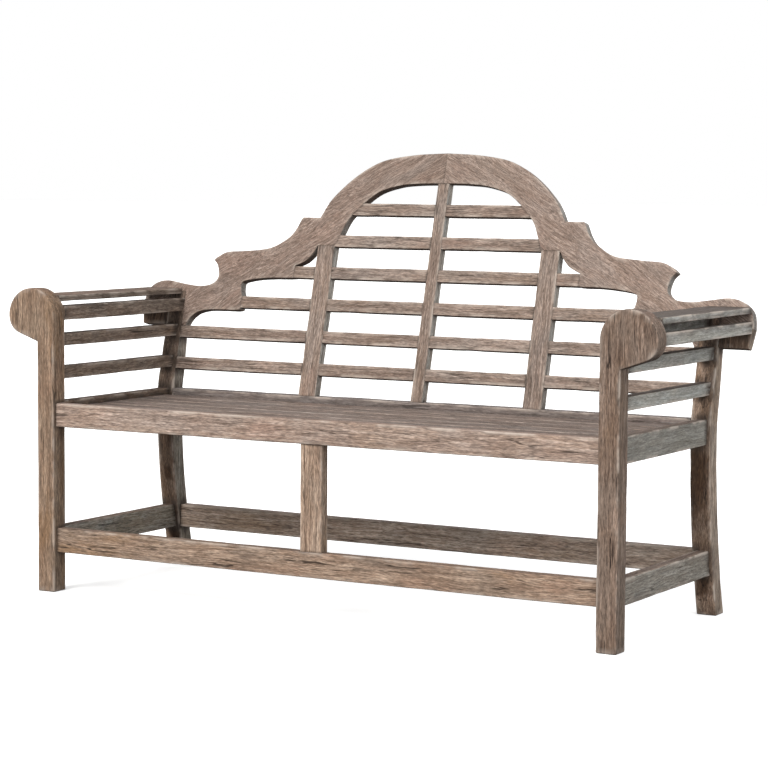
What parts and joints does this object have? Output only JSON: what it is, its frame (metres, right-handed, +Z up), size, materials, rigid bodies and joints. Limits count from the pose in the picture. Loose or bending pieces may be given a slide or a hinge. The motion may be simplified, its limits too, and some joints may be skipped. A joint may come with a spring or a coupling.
{
  "type": "garden bench",
  "caption": "Wooden garden bench with an arched slatted back, shaped crest, rolled arms, slatted seat and stretchers.",
  "frame": {"origin": "on the floor, under the middle of the bench's overall width and depth", "axes": "+Z up, +X along the bench to the right of someone facing its front, -Y out of the front"},
  "size_m": [1.65, 0.6498, 1.0305],
  "materials": {
    "leg_teak": "weathered, vertical grain, fine checks, softly worn arrises",
    "rail_teak": "weathered, lengthwise grain, silvered top faces",
    "crest_teak": "weathered, strong grain rising to the crown",
    "back_slat_teak": "weathered, lengthwise grain",
    "seat_slat_teak": "weathered and sat on, lengthwise grain",
    "arm_teak": "weathered grey-green, lengthwise grain",
    "hidden_teak": "unweathered, sawn"
  },
  "bodies": {
    "root": {"arm_block_left": "arm_teak", "arm_block_right": "arm_teak", "arm_board_left": "arm_teak", "arm_board_right": "arm_teak", "arm_slat_inner_left": "arm_teak", "arm_slat_inner_right": "arm_teak", "arm_slat_outer_left": "arm_teak", "arm_slat_outer_right": "arm_teak", "back_slat_inner_1_left": "back_slat_teak", "back_slat_inner_1_right": "back_slat_teak", "back_slat_inner_2_left": "back_slat_teak", "back_slat_inner_2_right": "back_slat_teak", "back_slat_inner_3_left": "back_slat_teak", "back_slat_inner_3_right": "back_slat_teak", "back_slat_inner_4_left": "back_slat_teak", "back_slat_inner_4_right": "back_slat_teak", "back_slat_inner_5_left": "back_slat_teak", "back_slat_inner_5_right": "back_slat_teak", "back_slat_inner_6_left": "back_slat_teak", "back_slat_inner_6_right": "back_slat_teak", "back_slat_outer_1_left": "back_slat_teak", "back_slat_outer_1_right": "back_slat_teak", "back_slat_outer_2_left": "back_slat_teak", "back_slat_outer_2_right": "back_slat_teak", "back_slat_outer_3_left": "back_slat_teak", "back_slat_outer_3_right": "back_slat_teak", "back_slat_outer_4_left": "back_slat_teak", "back_slat_outer_4_right": "back_slat_teak", "back_stile_centre": "crest_teak", "back_stile_left": "crest_teak", "back_stile_right": "crest_teak", "centre_post": "rail_teak", "crest_left": "crest_teak", "crest_right": "crest_teak", "crest_spline": "hidden_teak", "front_leg_left": "leg_teak", "front_leg_right": "leg_teak", "front_seat_rail": "rail_teak", "front_stretcher": "rail_teak", "rear_leg_left": "leg_teak", "rear_leg_right": "leg_teak", "rear_seat_rail": "rail_teak", "rear_stretcher": "rail_teak", "seat_bearer": "hidden_teak", "seat_cleat_left": "hidden_teak", "seat_cleat_right": "hidden_teak", "seat_slat_1": "seat_slat_teak", "seat_slat_2": "seat_slat_teak", "seat_slat_3": "seat_slat_teak", "seat_slat_4": "seat_slat_teak", "seat_slat_5": "seat_slat_teak", "seat_slat_6": "seat_slat_teak", "side_rail_lower_left": "arm_teak", "side_rail_lower_right": "arm_teak", "side_rail_upper_left": "arm_teak", "side_rail_upper_right": "arm_teak", "side_seat_rail_left": "rail_teak", "side_seat_rail_right": "rail_teak", "side_stretcher_left": "rail_teak", "side_stretcher_right": "rail_teak"}
  },
  "joints": []
}
